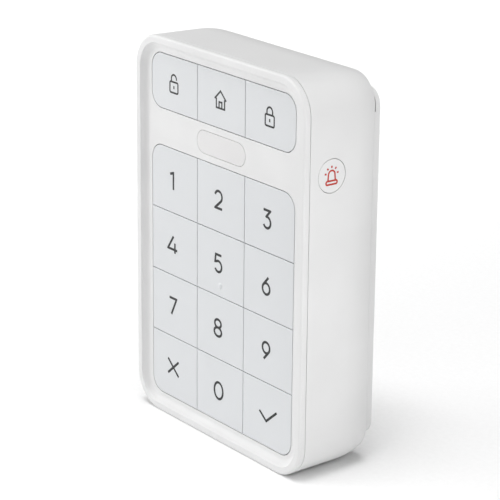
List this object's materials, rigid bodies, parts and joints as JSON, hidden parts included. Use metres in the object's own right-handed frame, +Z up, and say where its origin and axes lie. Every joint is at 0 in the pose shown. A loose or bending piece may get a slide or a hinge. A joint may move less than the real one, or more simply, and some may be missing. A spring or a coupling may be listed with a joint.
{
  "type": "alarm keypad panel",
  "caption": "Upright white wall keypad with mode keys, a number block, a status window and a side button, on a slide-off wall bracket.",
  "frame": {"origin": "centre of the wall bracket's rear face, on the wall", "axes": "+Z up along the keypad's height, -Y out of the wall towards the user, +X to the user's right"},
  "size_m": [0.08, 0.0285, 0.1159],
  "materials": {
    "housing_abs": "satin moulded, white",
    "bracket_abs": "satin moulded, white",
    "key_plastic": "fine satin, cool white, dark grey printed legends",
    "button_plastic": "satin moulded, red printed beacon",
    "window_plastic": "milky, satin",
    "guide_plastic": "clear, frosted",
    "led_resin": "cast resin",
    "frame_plastic": "moulded, natural",
    "silicone": "moulded, translucent grey",
    "carbon_rubber": "matte",
    "board_laminate": "solder mask, satin",
    "tinned_steel": "tinned",
    "chip_resin": "matte",
    "component_black": "matte",
    "contact_steel": "nickel plated",
    "screw_steel": "zinc plated",
    "cell_jacket": "plain printed sleeve",
    "foam_tape": "closed-cell foam"
  },
  "bodies": {
    "bracket": {"wall_bracket": "bracket_abs", "adhesive_pads": "foam_tape"},
    "housing": {"front_bezel": "housing_abs", "rear_case": "housing_abs", "case_screws": "screw_steel", "status_window": "window_plastic", "light_guide": "guide_plastic", "status_leds": "led_resin", "key_frame": "frame_plastic", "key_mat": "silicone", "contact_pills": "carbon_rubber", "circuit_board": "board_laminate", "radio_shield": "tinned_steel", "processor": "chip_resin", "antenna": "tinned_steel", "buzzer": "component_black", "panic_switch": "component_black", "tamper_switch": "component_black", "battery_cell_left": "cell_jacket", "battery_cell_right": "cell_jacket", "spring_contacts": "contact_steel", "stud_contacts": "contact_steel"},
    "door": {"battery_door": "housing_abs"},
    "panic": {"panic_button": "button_plastic"},
    "tamper": {"tamper_plunger": "frame_plastic"},
    "key_unlock_cap": {"key_unlock": "key_plastic"},
    "key_home_cap": {"key_home": "key_plastic"},
    "key_lock_cap": {"key_lock": "key_plastic"},
    "key_1_cap": {"key_1": "key_plastic"},
    "key_2_cap": {"key_2": "key_plastic"},
    "key_3_cap": {"key_3": "key_plastic"},
    "key_4_cap": {"key_4": "key_plastic"},
    "key_5_cap": {"key_5": "key_plastic"},
    "key_6_cap": {"key_6": "key_plastic"},
    "key_7_cap": {"key_7": "key_plastic"},
    "key_8_cap": {"key_8": "key_plastic"},
    "key_9_cap": {"key_9": "key_plastic"},
    "key_cancel_cap": {"key_cancel": "key_plastic"},
    "key_0_cap": {"key_0": "key_plastic"},
    "key_confirm_cap": {"key_confirm": "key_plastic"}
  },
  "joints": [
    {"name": "housing_lift", "type": "slide", "parent": "bracket", "child": "housing", "axis": [0, 0, 1], "range_m": [0, 0.0045]},
    {"name": "battery_door_slide", "type": "slide", "parent": "housing", "child": "door", "axis": [0, 0, -1], "range_m": [0, 0.006]},
    {"name": "panic_press", "type": "slide", "parent": "housing", "child": "panic", "axis": [-1, 0, 0], "range_m": [0, 0.0006], "stiffness_N_per_m": 800, "springref_m": -0.0005},
    {"name": "tamper_press", "type": "slide", "parent": "housing", "child": "tamper", "axis": [0, -1, 0], "range_m": [0, 0.0006], "stiffness_N_per_m": 300, "springref_m": -0.001},
    {"name": "key_unlock_press", "type": "slide", "parent": "housing", "child": "key_unlock_cap", "axis": [0, 1, 0], "range_m": [0, 0.0006], "stiffness_N_per_m": 600, "springref_m": -0.0006},
    {"name": "key_home_press", "type": "slide", "parent": "housing", "child": "key_home_cap", "axis": [0, 1, 0], "range_m": [0, 0.0006], "stiffness_N_per_m": 600, "springref_m": -0.0006},
    {"name": "key_lock_press", "type": "slide", "parent": "housing", "child": "key_lock_cap", "axis": [0, 1, 0], "range_m": [0, 0.0006], "stiffness_N_per_m": 600, "springref_m": -0.0006},
    {"name": "key_1_press", "type": "slide", "parent": "housing", "child": "key_1_cap", "axis": [0, 1, 0], "range_m": [0, 0.0006], "stiffness_N_per_m": 600, "springref_m": -0.0006},
    {"name": "key_2_press", "type": "slide", "parent": "housing", "child": "key_2_cap", "axis": [0, 1, 0], "range_m": [0, 0.0006], "stiffness_N_per_m": 600, "springref_m": -0.0006},
    {"name": "key_3_press", "type": "slide", "parent": "housing", "child": "key_3_cap", "axis": [0, 1, 0], "range_m": [0, 0.0006], "stiffness_N_per_m": 600, "springref_m": -0.0006},
    {"name": "key_4_press", "type": "slide", "parent": "housing", "child": "key_4_cap", "axis": [0, 1, 0], "range_m": [0, 0.0006], "stiffness_N_per_m": 600, "springref_m": -0.0006},
    {"name": "key_5_press", "type": "slide", "parent": "housing", "child": "key_5_cap", "axis": [0, 1, 0], "range_m": [0, 0.0006], "stiffness_N_per_m": 600, "springref_m": -0.0006},
    {"name": "key_6_press", "type": "slide", "parent": "housing", "child": "key_6_cap", "axis": [0, 1, 0], "range_m": [0, 0.0006], "stiffness_N_per_m": 600, "springref_m": -0.0006},
    {"name": "key_7_press", "type": "slide", "parent": "housing", "child": "key_7_cap", "axis": [0, 1, 0], "range_m": [0, 0.0006], "stiffness_N_per_m": 600, "springref_m": -0.0006},
    {"name": "key_8_press", "type": "slide", "parent": "housing", "child": "key_8_cap", "axis": [0, 1, 0], "range_m": [0, 0.0006], "stiffness_N_per_m": 600, "springref_m": -0.0006},
    {"name": "key_9_press", "type": "slide", "parent": "housing", "child": "key_9_cap", "axis": [0, 1, 0], "range_m": [0, 0.0006], "stiffness_N_per_m": 600, "springref_m": -0.0006},
    {"name": "key_cancel_press", "type": "slide", "parent": "housing", "child": "key_cancel_cap", "axis": [0, 1, 0], "range_m": [0, 0.0006], "stiffness_N_per_m": 600, "springref_m": -0.0006},
    {"name": "key_0_press", "type": "slide", "parent": "housing", "child": "key_0_cap", "axis": [0, 1, 0], "range_m": [0, 0.0006], "stiffness_N_per_m": 600, "springref_m": -0.0006},
    {"name": "key_confirm_press", "type": "slide", "parent": "housing", "child": "key_confirm_cap", "axis": [0, 1, 0], "range_m": [0, 0.0006], "stiffness_N_per_m": 600, "springref_m": -0.0006}
  ]
}
